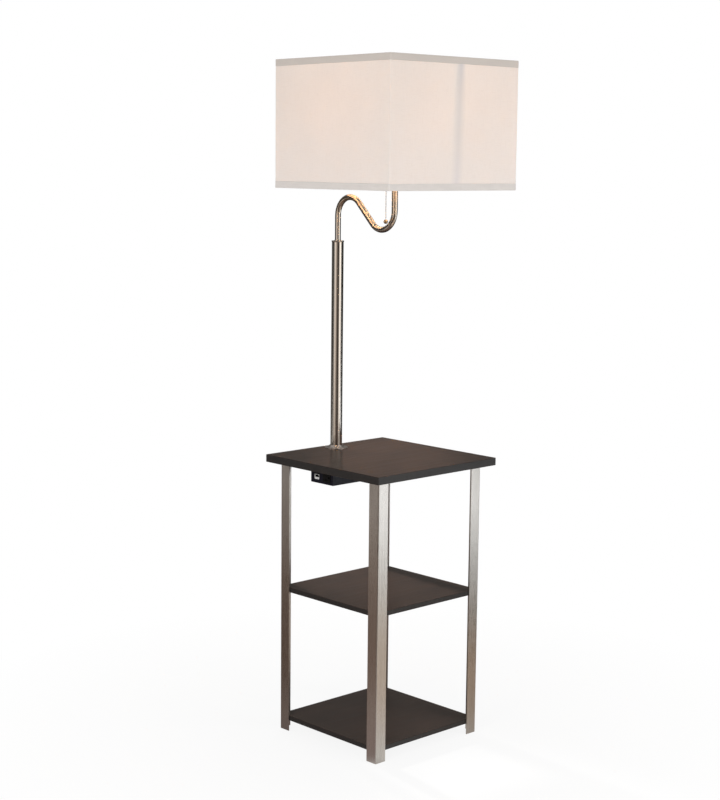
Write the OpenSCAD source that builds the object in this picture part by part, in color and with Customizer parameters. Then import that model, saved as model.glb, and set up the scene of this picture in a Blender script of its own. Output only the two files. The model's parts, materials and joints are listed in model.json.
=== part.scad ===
// Floor lamp with a two-shelf side table.
// Millimetres, +Z up. The origin is on the floor, under the middle of the square table.
// The pole stands at the middle of the rear (+Y) edge and the bent arm reaches forward (-Y).

/* [Table] */
// Width and depth of the square table top
table_w = 380; // [350:5:440]
// Thickness of the table top
table_t = 18; // [16:1:25]
// Height of the table's upper surface above the floor
table_h = 666; // [600:1:720]
// Overhang of the table top past the legs, on every side
top_overhang = 25; // [15:1:35]
// Thickness of both shelves
shelf_t = 12; // [9:1:18]
// Height of the middle shelf's upper surface
mid_shelf_h = 351; // [250:1:450]
// Height of the bottom shelf's upper surface
low_shelf_h = 37; // [32:1:80]
// Width of each flange of an angle leg
leg_flange = 30; // [26:1:40]
// Thickness of the leg's steel
leg_wall = 2; // [1.5:0.5:3]
// Outer radius of the leg's fold
leg_fold = 2.5; // [2:0.5:4]
// Bevel along the edges of the boards
board_bevel = 0.8; // [0.4:0.2:2]

/* [Brackets and screws] */
// Thickness of the bracket and plate steel
plate_t = 2; // [1.5:0.5:3]
// Side of a corner plate
plate_w = 24; // [20:1:26]
// Depth of the bracket's ears against the leg
ear_h = 10; // [6:1:14]
// Shank diameter of the wood screws
screw_d = 3.5; // [3:0.5:4.5]
// Head diameter of the wood screws
screw_head_d = 7; // [6:0.5:9]
// Length of a wood screw's shank in the board
screw_bite = 8; // [5:1:9]

/* [Pole] */
// Outer diameter of the pole
pole_d = 28; // [25:0.5:35]
// Wall of the pole tube
pole_wall = 1.2; // [0.8:0.1:2]
// Distance of the pole's axis from the rear edge of the table top
pole_inset = 35.5; // [30:0.5:60]
// Height of the collar's rim above the floor
pole_top = 1162; // [1000:1:1200]
// Diameter of the collar's rim
rim_d = 30.5; // [30:0.5:38]
// Height of the collar's rim
rim_h = 3.4; // [2:0.2:6]
// Diameter of the escutcheon on the table
flange_d = 56; // [50:1:60]
// Height of the escutcheon
flange_h = 7; // [4:0.5:12]
// Outer diameter of the threaded pipe that holds pole and socket
thread_d = 9.7; // [9:0.1:11]
// Depth of the pocket for the nut under the table top
nut_pocket = 8; // [5:1:10]

/* [Arm] */
// Outer diameter of the arm tube
arm_d = 14; // [12:0.5:16]
// Wall of the arm tube
arm_wall = 1; // [0.8:0.1:1.5]
// Horizontal distance from the pole's axis to the riser's axis
arm_reach = 198; // [180:1:240]
// Height of the centreline at the arm's crest
crest_h = 1265; // [1240:1:1270]
// Height of the centreline at the arm's trough
trough_h = 1193; // [1180:1:1215]
// Centreline radius of both bends
bend_r = 44; // [36:1:48]
// How far the arm stands turned from straight ahead, in degrees
arm_turn = -2.1; // [-30:0.1:30]
// Height of the riser tube's upper end
riser_top = 1376; // [1340:1:1390]
// Length of arm tube that goes down into the pole
arm_tail = 70; // [50:5:120]

/* [Shade and harp] */
// Outer width of the square shade over its trims
shade_w = 387; // [320:1:430]
// Height of the shade
shade_h = 287; // [250:1:300]
// Height of the shade's lower edge above the floor
shade_base = 1286.5; // [1280:0.5:1300]
// Thickness of the stiffened shade fabric
wrap_t = 1.2; // [0.8:0.1:2]
// Thickness of the folded trim
trim_t = 0.4; // [0.3:0.1:1]
// Height of the trim bands
trim_h = 15; // [8:1:20]
// Diameter of the shade's wire rings
ring_wire_d = 4; // [3:0.5:5]
// Diameter of the spider's arms
spider_wire_d = 3.6; // [3:0.2:5]
// Width of the lap seam in the shade fabric
lap_w = 20; // [8:1:25]
// Distance of the lap seam from the middle of the front
lap_shift = 4; // [-10:1:10]
// Drop of the spider's washer below the shade's upper edge
spider_drop = 22; // [15:1:35]
// Greatest width of the harp, between the wire's centrelines
harp_w = 104; // [90:2:130]
// Diameter of the harp's wire
harp_wire_d = 3.2; // [2.5:0.1:4]
// Gap between the socket cap and a harp sleeve
foot_gap = 0.9; // [0.6:0.1:2]
// Height of the saddle's two upright tabs
saddle_tab_h = 14; // [11:0.5:18]

/* [Socket, bulb and chain] */
// Diameter of the socket cap
socket_d = 33.2; // [32:0.2:36]
// Diameter of the bulb's glass
bulb_d = 60; // [55:1:66]
// Distance of the hanging chain from the riser's axis
chain_reach = 26.9; // [25:0.1:32]
// Height of the centre of the chain's ball above the floor
ball_h = 1213.5; // [1190:0.5:1240]
// Diameter of the chain's ball
ball_d = 10; // [7:0.5:12]
// Diameter of the chain's beads
bead_d = 2.4; // [2:0.2:3.2]
// Distance from bead to bead
bead_pitch = 3.6; // [3.4:0.1:5]
// Travel of the pull switch
pull_travel = 5; // [3:0.5:5]
// Travel of a harp sleeve, which frees the harp's foot from the saddle's tab
sleeve_travel = 11; // [8:0.5:14]

/* [Power box] */
// Length of the power box, from its face inwards
box_l = 115; // [100:1:130]
// Width of the power box along the table's side
box_w = 75; // [70:1:85]
// Height of the power box under the table top
box_h = 35; // [32:1:45]
// Distance of the box's face from the table's side
box_setback = 40; // [30:1:60]
// Distance of the box's front side from the table's middle
box_front = 1; // [-10:1:10]
// Wall of the box
box_wall = 2; // [1.5:0.5:3]
// Width and height of the mains outlet's face
outlet_size = [26, 24]; // [20:1:28]
// Width and height of the USB module's face
usb_size = [17.5, 13.5]; // [12:0.5:20]
// Width and height of the USB module's opening
usb_slot = [12.6, 5.6]; // [5:0.2:13]
// Wall of the USB module beside its opening, at the outlet's side
usb_side = 0.7; // [0.5:0.1:2]
// Diameter of the lamp lead
lead_d = 5; // [4:0.5:6]
// Bore of the mains cord's inlet
inlet_d = 7.2; // [6:0.2:8.5]
// Bend radius of the lamp lead
lead_bend = 12; // [8:1:16]

/* [Hidden] */
$fn = 64;

// Clearances
fit = 0.05;     // between a pressed or turning piece and its bore, on the radius
seat_gap = 0.3; // between pieces that move past each other
ease = 0.1;     // by which a bend is thinner than the straight it joins
lap = 0.6;      // by which a straight runs over a bend

// Table
top_under = table_h - table_t;
leg_out = table_w / 2 - top_overhang;
leg_in = leg_out - leg_wall;
board_gap = 0.5;
shelf_w = 2 * (leg_in - board_gap);
shelf_tops = [mid_shelf_h, low_shelf_h];
corners = [[-1, -1], [1, -1], [-1, 1], [1, 1]];
plate_hole_in = plate_w * 0.32;
plate_hole_out = plate_w * 0.8;
bracket_hole = plate_w * 0.55;
screw_head_h = 2.2;
pilot_r = screw_d / 2 + fit;

// Pole
pole_y = table_w / 2 - pole_inset;
pole_r = pole_d / 2;
pole_in = pole_r - pole_wall;
tube_top = pole_top - rim_h;
thread_r = thread_d / 2;
thread_bore = lead_d / 2 + 0.7;
plug_h = 14;
washer_t = 2;
nut_h = 7;
pocket_top = top_under + nut_pocket;
nut_low = pocket_top - 2 * washer_t - nut_h;
nipple_low = nut_low - 2;
nipple_high = table_h + plug_h - 2;

// Swivel
arm_r = arm_d / 2;
arm_in = arm_r - arm_wall;
bush_r = arm_r + 2;
collar_bore = bush_r + fit;
spigot_h = 12;
dish_depth = 1.6;
arm_low = pole_top - arm_tail;
retainer_h = 6;
retainer_r = arm_r + 3;
stop_in = retainer_r + seat_gap;
stop_out = pole_in - 0.4;
lower_bush_low = arm_low + 2 + retainer_h + seat_gap;
lower_bush_h = 10;
stop_half_angle = 8;
tab_half_angle = 12;

// Arm: two bends in one plane, joined by a straight slope
bend_dx = arm_reach - 2 * bend_r;
bend_dz = trough_h - crest_h + 2 * bend_r;
slope = asin(2 * bend_r / norm([bend_dx, bend_dz])) - atan2(bend_dz, bend_dx);
crest_centre = [bend_r, crest_h - bend_r];
trough_centre = [arm_reach - bend_r, trough_h + bend_r];
slope_top = crest_centre + bend_r * [sin(slope), cos(slope)];
slope_low = trough_centre - bend_r * [sin(slope), cos(slope)];

// Head: heights above the floor
stud_flange = 1.5;
saddle_t = 1.6;
saddle_w = 12;
saddle_low = riser_top + stud_flange;
cap_low = saddle_low + saddle_t;
stud_top = cap_low + 14;
cap_r = socket_d / 2;
cap_t = 0.8;
cap_h = 18;
shell_r = cap_r - cap_t - fit;
shell_t = 0.6;
liner_r = shell_r - shell_t - fit;
liner_t = 0.6;
core_r = liner_r - liner_t - fit;
shell_low = cap_low + 14;
shell_high = cap_low + 54;
core_low = cap_low + 16.5;
core_high = cap_low + 34;
contact_r = 13.4;
contact_t = 0.4;
base_r = contact_r - contact_t - 0.2;
base_low = core_high + 2;
base_high = core_high + 24;
bulb_r = bulb_d / 2;
bulb_rise = 48;
bell_z = cap_low + 26;
bell_bore = 2.2;
bell_r = 3.2;
bell_in = 10.2;
hanger_r = 1.6;
hanger_tube = 6;
bell_out = chain_reach - hanger_r - seat_gap;
bead_r = bead_d / 2;
chain_top = bell_z - hanger_r - hanger_tube - seat_gap - bead_r;
ball_r = ball_d / 2;

// Harp
harp_r = harp_wire_d / 2;
sleeve_r = 5;
sleeve_in = 4.1;
sleeve_lip = 1.5;
foot_half = cap_r + foot_gap + sleeve_r;
tab_top = saddle_low + saddle_tab_h;
sleeve_low = saddle_low + saddle_t + 2.4;
harp_low = tab_top + 0.5;
foot_top = harp_low + 2;
sleeve_h = foot_top + 2 * fit + sleeve_lip - sleeve_low;
foot_straight = sleeve_h + sleeve_travel + 2;
spider_z = shade_base + shade_h - spider_drop;
harp_plate_t = 1.6;
harp_top = spider_z - seat_gap - harp_plate_t - harp_r;
flare_r = 18;
crown_r = 24;
crown_heading = 140;
// The two side bends start where the straight foot ends and meet the crown
harp_straight_top = sleeve_low + foot_straight;
side_gain = harp_w / 2 - foot_half;
flare = harp_flare(20);
side_r = harp_side_r(flare);

// Shade
shade_top = shade_base + shade_h;
shade_half = shade_w / 2;
wrap_out = shade_half - trim_t;
wrap_in = wrap_out - wrap_t;
ring_r = ring_wire_d / 2;
ring_half = wrap_in - ring_r - fit;
ring_corner = 8;
washer_r = 11;
stud_r = 3.1;
lap_t = 0.6;

// Power box
face_x = -table_w / 2 + box_setback;
box_low = top_under - box_h;
plate_low = top_under - plate_t;
box_end = face_x + box_l;
box_rear = box_front + box_w;
housing_x = face_x + box_wall;
device_z = box_low + (plate_low - box_low) / 2;
outlet_y = box_front + box_w * 0.28;
usb_y = box_front + box_w * 0.74;
proud = 0.8;
outlet_depth = 28;
usb_depth = 20;
usb_drop = 1;
usb_z = device_z - usb_drop;
usb_slot_low = [usb_y - usb_size[0] / 2 + usb_side, device_z - usb_slot[1] / 2];
usb_slot_depth = 12;
board_z = box_low + box_wall + 6;
board_t = 1.6;
board_x = face_x + outlet_depth + 5;
post_r = 3;
lead_r = lead_d / 2;
lead_turn_r = 8;
lead_z = nipple_low - 1 - lead_turn_r;
lead_x = face_x + box_l * 0.7;
grommet_r = 5;
grommet_flange = 6.5;
inlet_z = box_low + box_h * 0.45;
inlet_y = box_front + box_w / 2;
block_y = box_rear - box_wall - 3;
clip_w = 8;

// Colours
steel = [0.68, 0.66, 0.63];
board_brown = [0.17, 0.13, 0.11];
black = [0.05, 0.05, 0.055];
zinc = [0.6, 0.6, 0.6];
brass = [0.75, 0.6, 0.32];
nylon = [0.85, 0.84, 0.8];
cloth = [0.93, 0.89, 0.85];
trim_cloth = [0.83, 0.8, 0.77];

// Harp shape: the flare turns outward, the side bend turns back in to the crown.
// The side bend's radius brings the crown to its height, and the flare's angle is
// widened in steps until the harp is as wide as asked.
function harp_side_r(a) =
    (harp_top - harp_straight_top - flare_r * sin(a) - crown_r * (1 + cos(crown_heading)))
    / (sin(a) - cos(crown_heading));
function harp_reach(a) = flare_r * (1 - cos(a)) + harp_side_r(a) * (1 - cos(a));
function harp_flare(a) = a > 45 || harp_reach(a) >= side_gain ? a : harp_flare(a + 0.25);

// Placing
module at_corner(c) { translate([c[0] * leg_in, c[1] * leg_in, 0]) scale_sign(c) children(); }
module scale_sign(c) {
    mirror([c[0] < 0 ? 1 : 0, 0, 0]) mirror([0, c[1] < 0 ? 1 : 0, 0]) children();
}
module at_pole() { translate([0, pole_y, 0]) children(); }
module at_arm() { at_pole() rotate([0, 0, arm_turn]) children(); }
module at_head() { at_arm() translate([0, -arm_reach, 0]) children(); }
// The plane of the arm: x runs forward from the pole's axis, y runs up
module arm_plane() { rotate([90, 0, -90]) children(); }
// Lays what is built along +Z out along -X, at the height of the chain's bell
module along_bell() { translate([0, 0, bell_z]) rotate([0, -90, 0]) children(); }

// Shapes that repeat
module ring(r_out, r_in, z, h) {
    translate([0, 0, z]) difference() {
        cylinder(r = r_out, h = h);
        translate([0, 0, -1]) cylinder(r = r_in, h = h + 2);
    }
}
// A bend in the drawing plane. It is a hair thinner and shorter than the straights it
// meets, and each straight laps over it, so that no two faces lie on each other.
module bend(centre, radius, from, turn, r) {
    trim = 0.1 / radius * 180 / PI;
    translate([centre[0], centre[1], 0]) rotate([0, 0, from + trim])
        rotate_extrude(angle = turn - 2 * trim) translate([radius, 0]) circle(r = r - ease);
}
// A straight in the drawing plane, from a point at an angle, lapping over the bends by l1 and l2
module straight(at, angle, length, r, l1, l2) {
    translate([at[0], at[1], 0]) rotate([0, 0, angle - 90]) rotate([-90, 0, 0]) translate([0, 0, -l1])
        cylinder(r = r, h = length + l1 + l2);
}
module rod(a, b, r) {
    d = b - a;
    translate(a) rotate([0, acos(d[2] / norm(d)), atan2(d[1], d[0])]) cylinder(r = r, h = norm(d));
}
module bevelled(w, t) {
    polygon([
        [-w / 2, board_bevel], [-w / 2 + board_bevel, 0], [w / 2 - board_bevel, 0], [w / 2, board_bevel],
        [w / 2, t - board_bevel], [w / 2 - board_bevel, t], [-w / 2 + board_bevel, t],
        [-w / 2, t - board_bevel]
    ]);
}
module board(w, t) {
    intersection() {
        rotate([90, 0, 0]) linear_extrude(w, center = true) bevelled(w, t);
        rotate([90, 0, 90]) linear_extrude(w, center = true) bevelled(w, t);
    }
}
// A wood screw driven upwards: the head's flat side is at z = 0
module wood_screw(bite) {
    rotate_extrude() polygon([
        [0, -screw_head_h], [screw_head_d * 0.3, -screw_head_h],
        [screw_head_d * 0.45, -screw_head_h * 0.6], [screw_head_d / 2, 0],
        [screw_d / 2, 0], [screw_d / 2, bite - screw_d / 2], [0, bite]
    ]);
}
module pilot(z, bite) { translate([0, 0, z - 1]) cylinder(r = pilot_r, h = bite + 1.5); }

// ---- Table ----
module plate_hole_places() {
    translate([-plate_hole_in, -plate_hole_out, 0]) children();
    translate([-plate_hole_out, -plate_hole_in, 0]) children();
}
module top_screw_places() {
    for (c = corners) at_corner(c) plate_hole_places() children();
}
module shelf_screw_places() {
    for (c = corners) at_corner(c) translate([-bracket_hole, -bracket_hole, 0]) children();
}
module table_top() {
    color(board_brown) difference() {
        translate([0, 0, top_under]) board(table_w, table_t);
        at_pole() translate([0, 0, top_under - 1]) cylinder(r = thread_r + 0.5, h = table_t + 2);
        at_pole() translate([0, 0, top_under - 1]) cylinder(r = nut_pocket_r, h = nut_pocket + 1);
        top_screw_places() pilot(top_under, screw_bite);
        box_screw_places() pilot(top_under, screw_bite);
    }
}
nut_pocket_r = 17;
module shelf(z_top) {
    color(board_brown) difference() {
        translate([0, 0, z_top - shelf_t]) board(shelf_w, shelf_t);
        shelf_screw_places() pilot(z_top - shelf_t, screw_bite);
    }
}
module middle_shelf() { shelf(mid_shelf_h); }
module bottom_shelf() { shelf(low_shelf_h); }

// An angle leg, folded from one strip. The outer corner of the fold is rounded.
module leg_profile() {
    o = leg_wall;
    difference() {
        union() {
            translate([o - leg_flange, o - leg_wall]) square([leg_flange - leg_fold, leg_wall]);
            translate([o - leg_wall, o - leg_flange]) square([leg_wall, leg_flange - leg_fold]);
            intersection() {
                translate([o - leg_fold, o - leg_fold]) circle(r = leg_fold);
                translate([o - leg_fold, o - leg_fold]) square(leg_fold);
            }
            translate([o - leg_fold, o - leg_fold]) mirror([1, 1, 0]) square(0.01);
        }
        translate([-leg_flange, -leg_flange]) square(leg_flange);
    }
}
module leg(c) { color(steel) at_corner(c) linear_extrude(top_under) leg_profile(); }
module leg_front_left() { leg(corners[0]); }
module leg_front_right() { leg(corners[1]); }
module leg_rear_left() { leg(corners[2]); }
module leg_rear_right() { leg(corners[3]); }

module corner_plate_outline() {
    polygon([[0, 0], [-plate_w, 0], [-plate_w, -plate_w / 2], [-plate_w / 2, -plate_w], [0, -plate_w]]);
}
// Plates welded inside the legs' upper ends, screwed to the table top
module leg_top_plates() {
    color(steel) for (c = corners) at_corner(c) translate([0, 0, top_under - plate_t]) difference() {
        linear_extrude(plate_t) corner_plate_outline();
        plate_hole_places() translate([0, 0, -1]) cylinder(r = pilot_r, h = plate_t + 2);
    }
}
// A black bracket under each shelf corner: a plate with an ear down each flange of the leg
module shelf_bracket() {
    difference() {
        union() {
            translate([0, 0, -plate_t]) linear_extrude(plate_t) corner_plate_outline();
            translate([-plate_w, -plate_t, -plate_t - ear_h]) cube([plate_w - plate_t, plate_t, ear_h + plate_t]);
            translate([-plate_t, -plate_w, -plate_t - ear_h]) cube([plate_t, plate_w, ear_h + plate_t]);
        }
        translate([-bracket_hole, -bracket_hole, -plate_t - 1]) cylinder(r = pilot_r, h = plate_t + 2);
    }
}
module shelf_brackets() {
    color(black) for (z = shelf_tops, c = corners)
        at_corner(c) translate([0, 0, z - shelf_t]) shelf_bracket();
}
module top_plate_screws() {
    color(zinc) top_screw_places() translate([0, 0, top_under - plate_t]) wood_screw(screw_bite + plate_t);
}
module shelf_screws() {
    color(zinc) for (z = shelf_tops) shelf_screw_places()
        translate([0, 0, z - shelf_t - plate_t]) wood_screw(screw_bite + plate_t);
}

// ---- Pole ----
// A trumpet-shaped cover: it falls from the pole and flattens towards its rim
function flare_z(s) = 1.2 + (flange_h - 1.2) * pow(1 - s, 1.7);
module escutcheon() {
    r_in = pole_r + 0.1;
    r_out = flange_d / 2;
    sheet = 0.8;
    steps = 12;
    color(steel) at_pole() translate([0, 0, table_h]) rotate_extrude() polygon(concat(
        [[r_in, flange_h - sheet], [r_in, flange_h]],
        [for (i = [0:steps]) let (s = i / steps) [r_in + 0.8 + (r_out - r_in - 0.8) * s, flare_z(s)]],
        [[r_out, 0], [r_out - sheet, 0]],
        [for (i = [steps:-1:0]) let (s = i / steps)
            [r_in + 0.3 + (r_out - sheet - r_in - 0.3) * s, flare_z(s) - sheet]]
    ));
}
module pole_tube() {
    color(steel) at_pole() ring(pole_r, pole_in, table_h, tube_top - table_h);
}
module pole_plug() {
    color(zinc) at_pole() ring(pole_in - fit, thread_r + fit, table_h, plug_h);
}
module pole_nipple() {
    color(zinc) at_pole() ring(thread_r, thread_bore, nipple_low, nipple_high - nipple_low);
}
module pole_washer() {
    color(zinc) at_pole() ring(nut_pocket_r - 2, thread_r + 0.3, pocket_top - washer_t, washer_t);
}
// A split spring washer
module lock_washer() {
    color(zinc) at_pole() difference() {
        ring(thread_r + 3.6, thread_r + 0.3, pocket_top - 2 * washer_t, washer_t);
        translate([0, -1, pocket_top - 2 * washer_t - 1]) cube([thread_d, 2, washer_t + 2]);
    }
}
module pole_nut() {
    color(zinc) at_pole() translate([0, 0, nut_low]) difference() {
        intersection() {
            cylinder(r = thread_r + 4.9, h = nut_h, $fn = 6);
            rotate_extrude() polygon([
                [0, 0], [thread_r + 4, 0], [thread_r + 5, 1], [thread_r + 5, nut_h - 1],
                [thread_r + 4, nut_h], [0, nut_h]
            ]);
        }
        translate([0, 0, -1]) cylinder(r = thread_r + fit, h = nut_h + 2);
    }
}
// The pole's cap: a rolled rim round a dished face, with a spigot pressed into the tube
module pole_collar() {
    rim_r = rim_d / 2;
    roll = 0.9;
    color(steel) at_pole() translate([0, 0, tube_top]) rotate_extrude() polygon(concat(
        [[collar_bore, -spigot_h], [pole_in - fit, -spigot_h], [pole_in - fit, 0], [pole_r, 0]],
        [for (a = [-60:30:90]) [rim_r - roll + roll * cos(a), rim_h - roll + roll * sin(a)]],
        [[rim_r - 1.9, rim_h - 0.3], [collar_bore + 2.6, rim_h - dish_depth], [collar_bore, rim_h - dish_depth]]
    ));
}
module upper_bush() {
    color(nylon) at_pole() ring(bush_r, arm_r + fit, tube_top - spigot_h, spigot_h + rim_h - dish_depth);
}
// The lower bush carries a lug that stops the arm before it twists its cable
module sector(r, half_angle, h) {
    linear_extrude(h) polygon([
        [0, 0], r * 1.2 * [cos(-half_angle), sin(-half_angle)], r * 1.2 * [cos(half_angle), sin(half_angle)]
    ]);
}
module lower_bush() {
    color(nylon) at_pole() union() {
        ring(pole_in - fit, arm_r + fit, lower_bush_low, lower_bush_h);
        intersection() {
            ring(stop_out, stop_in, lower_bush_low - retainer_h, retainer_h + 1);
            translate([0, 0, lower_bush_low - retainer_h]) rotate([0, 0, 90])
                sector(stop_out, stop_half_angle, retainer_h + 1);
        }
    }
}

// ---- Arm ----
module arm_run(r, z_from, z_to) {
    arm_plane() {
        straight([0, z_from], 90, crest_centre[1] - z_from, r, 0, lap);
        bend(crest_centre, bend_r, 90 - slope, 90 + slope, r);
        straight(slope_top, -slope, norm(slope_low - slope_top), r, lap, lap);
        bend(trough_centre, bend_r, 270 - slope, 90 + slope, r);
        straight([arm_reach, trough_centre[1]], 90, z_to - trough_centre[1], r, lap, 0);
    }
}
module arm_tube() {
    color(steel) at_arm() difference() {
        arm_run(arm_r, arm_low, riser_top);
        arm_run(arm_in, arm_low - 1, riser_top + 1);
    }
}
module arm_neck_ring() {
    color(steel) at_arm() translate([0, 0, pole_top - dish_depth + seat_gap]) rotate_extrude() polygon([
        [arm_r + fit, 0], [arm_r + 1.9, 0], [arm_r + 1.9, 2], [arm_r + 1, 3], [arm_r + fit, 3]
    ]);
}
module arm_retainer() {
    color(zinc) at_arm() union() {
        ring(retainer_r, arm_r + fit, arm_low + 2, retainer_h - 0.5);
        intersection() {
            ring(stop_out, retainer_r - 1, arm_low + 2, retainer_h - 0.5);
            translate([0, 0, arm_low + 2]) rotate([0, 0, -90])
                sector(stop_out, tab_half_angle, retainer_h - 0.5);
        }
    }
}
module arm_cable() {
    color(black) at_arm() arm_run(lead_r, arm_low + 4, core_low - seat_gap);
}
// A turned stud pressed into the riser, with the thread for saddle and socket
module riser_stud() {
    color(zinc) at_head() translate([0, 0, riser_top]) rotate_extrude() polygon([
        [thread_bore, -10], [arm_in - fit, -10], [arm_in - fit, 0], [arm_r, 0], [arm_r, stud_flange],
        [thread_r, stud_flange], [thread_r, stud_top - riser_top], [thread_bore, stud_top - riser_top]
    ]);
}

// ---- Harp ----
// The saddle is one bent strip, narrower where its ends stand up into the sleeves
module harp_saddle() {
    x_out = foot_half - 0.1;
    x_in = x_out - saddle_t;
    color(brass) at_head() translate([0, 0, saddle_low]) difference() {
        intersection() {
            rotate([90, 0, 90]) linear_extrude(saddle_w, center = true) union() {
                translate([-x_out, 0]) square([2 * x_out, saddle_t]);
                for (s = [-1, 1]) translate([s * (x_out - saddle_t / 2) - saddle_t / 2, 0])
                    square([saddle_t, tab_top - saddle_low]);
            }
            rotate([90, 0, 0]) linear_extrude(2 * foot_half, center = true) polygon([
                [-saddle_w / 2, 0], [saddle_w / 2, 0], [saddle_w / 2, saddle_t], [3, saddle_t + 1.5],
                [3, 20], [-3, 20], [-3, saddle_t + 1.5], [-saddle_w / 2, saddle_t]
            ]);
        }
        translate([0, 0, -1]) cylinder(r = thread_r + 0.2, h = saddle_t + 2);
    }
}
module harp_half() {
    flare_c = [foot_half + flare_r, harp_straight_top];
    turn_x = flare_c[0] - flare_r * cos(flare);
    turn_y = flare_c[1] + flare_r * sin(flare);
    side_c = [turn_x - side_r * cos(flare), turn_y + side_r * sin(flare)];
    crown_at = side_c + side_r * [sin(crown_heading), -cos(crown_heading)];
    crown_c = crown_at - crown_r * [sin(crown_heading), -cos(crown_heading)];
    straight([foot_half, harp_low], 90, harp_straight_top - harp_low, harp_r, 0, lap);
    bend(flare_c, flare_r, 180 - flare, flare, harp_r);
    straight([turn_x, turn_y], 90 - flare, 0, harp_r, lap, lap);
    bend(side_c, side_r, -flare, flare + crown_heading - 90, harp_r);
    straight(crown_at, crown_heading, 0, harp_r, lap, lap);
    bend(crown_c, crown_r, crown_heading - 90, 180 - crown_heading, harp_r);
    straight([0, harp_top], 0, crown_c[0], harp_r, 0, lap);
}
module harp() {
    color(brass) at_head() union() {
        for (turn = [-90, 90]) rotate([90, 0, turn]) union() {
            harp_half();
            translate([foot_half + fit, sleeve_low + 1, -2.5]) cube([1.4, foot_top - sleeve_low - 1, 5]);
        }
        translate([0, 0, harp_top]) cylinder(r = 6, h = harp_r + harp_plate_t);
        translate([0, 0, harp_top]) cylinder(r = stud_r, h = harp_r + harp_plate_t + 14);
    }
}
module harp_sleeve(side) {
    color(brass) at_head() translate([0, side * foot_half, sleeve_low]) rotate_extrude() polygon([
        [sleeve_in, 0], [sleeve_r, 0], [sleeve_r, sleeve_h - 1], [sleeve_r - 1, sleeve_h],
        [harp_r + 0.15, sleeve_h], [harp_r + 0.15, sleeve_h - sleeve_lip], [sleeve_in, sleeve_h - sleeve_lip]
    ]);
}
module harp_sleeve_front() { harp_sleeve(-1); }
module harp_sleeve_rear() { harp_sleeve(1); }
module finial() {
    low = spider_z + 1.6 + seat_gap;
    color(steel) at_head() translate([0, 0, low]) difference() {
        rotate_extrude() polygon(concat(
            [[0, 0], [7.5, 0], [7.5, 1.8], [6, 3], [3.9, 4.2], [3.6, 8], [4.6, 9.4], [4.6, 10.4]],
            [for (a = [-50:20:90]) 7 * [cos(a), sin(a)] + [0, 16]],
            [[0, 23]]
        ));
        translate([0, 0, -1]) cylinder(r = stud_r + fit, h = 14);
    }
}

// ---- Socket and bulb ----
module switch_hole() { along_bell() cylinder(r = bell_r + fit, h = chain_reach); }
module socket_cap() {
    neck_r = thread_r + 3.2;
    color(brass) at_head() translate([0, 0, cap_low]) rotate_extrude() polygon(concat(
        [[thread_r + fit, 0], [neck_r, 0], [neck_r, 3]],
        [for (a = [10:20:90]) [neck_r + (cap_r - neck_r) * sin(a), 3 + 10 * (1 - cos(a))]],
        [[cap_r, cap_h], [cap_r - cap_t, cap_h]],
        [for (a = [90:-20:10]) [neck_r - cap_t + (cap_r - neck_r) * sin(a), 3.9 + 10 * (1 - cos(a))]],
        [[neck_r - cap_t, 2], [thread_r + fit, 2]]
    ));
}
module socket_shell() {
    color(brass) at_head() difference() {
        translate([0, 0, shell_low]) rotate_extrude() polygon([
            [shell_r - shell_t, 0], [shell_r, 0], [shell_r, shell_high - shell_low - 2],
            [shell_r + 0.5, shell_high - shell_low - 1], [shell_r, shell_high - shell_low],
            [shell_r - shell_t, shell_high - shell_low]
        ]);
        switch_hole();
    }
}
module socket_liner() {
    color([0.35, 0.3, 0.25]) at_head() difference() {
        ring(liner_r, liner_r - liner_t, core_low, shell_high - core_low - 1);
        switch_hole();
    }
}
module socket_core() {
    color(black) at_head() difference() {
        union() {
            translate([0, 0, core_low]) cylinder(r = core_r, h = core_high - core_low);
            translate([0, 0, core_high]) cylinder(r = 3, h = 0.8);
        }
        switch_hole();
    }
}
module screw_shell() {
    color(brass) at_head() union() {
        ring(contact_r, contact_r - contact_t, core_high, shell_high - core_high - 2);
        ring(contact_r, 8, core_high, 0.6);
    }
}
// A flared tube that guides the chain over its rounded lip
module switch_bell() {
    mouth = bell_out - bell_in;
    color(brass) at_head() along_bell() translate([0, 0, bell_in]) rotate_extrude() polygon(concat(
        [[bell_bore, 0], [bell_r, 0], [bell_r, shell_r + 0.3 - bell_in], [5, shell_r + 0.3 - bell_in],
         [5, shell_r + 2 - bell_in], [bell_r, shell_r + 2 - bell_in], [bell_r, mouth - 3]],
        [for (a = [0:30:90]) [bell_r + 1.4 * (1 - cos(a)), mouth - 3 + 2.2 * sin(a)]],
        [[bell_r + 1.4, mouth], [bell_bore + 1.4, mouth]],
        [for (a = [90:-30:0]) [bell_bore + 1.4 * (1 - cos(a)), mouth - 2.6 + 2.2 * sin(a)]]
    ));
}
// The switch's plunger: pulling the chain down draws it out along the bell
module pull_link() {
    plunger_low = bell_in + 1;
    rod_tip = chain_reach - pull_travel;
    color(zinc) at_head() along_bell() union() {
        translate([0, 0, plunger_low]) cylinder(r = bell_bore - 0.15, h = 3);
        translate([0, 0, plunger_low]) cylinder(r = 0.8, h = rod_tip - plunger_low);
    }
}
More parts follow.
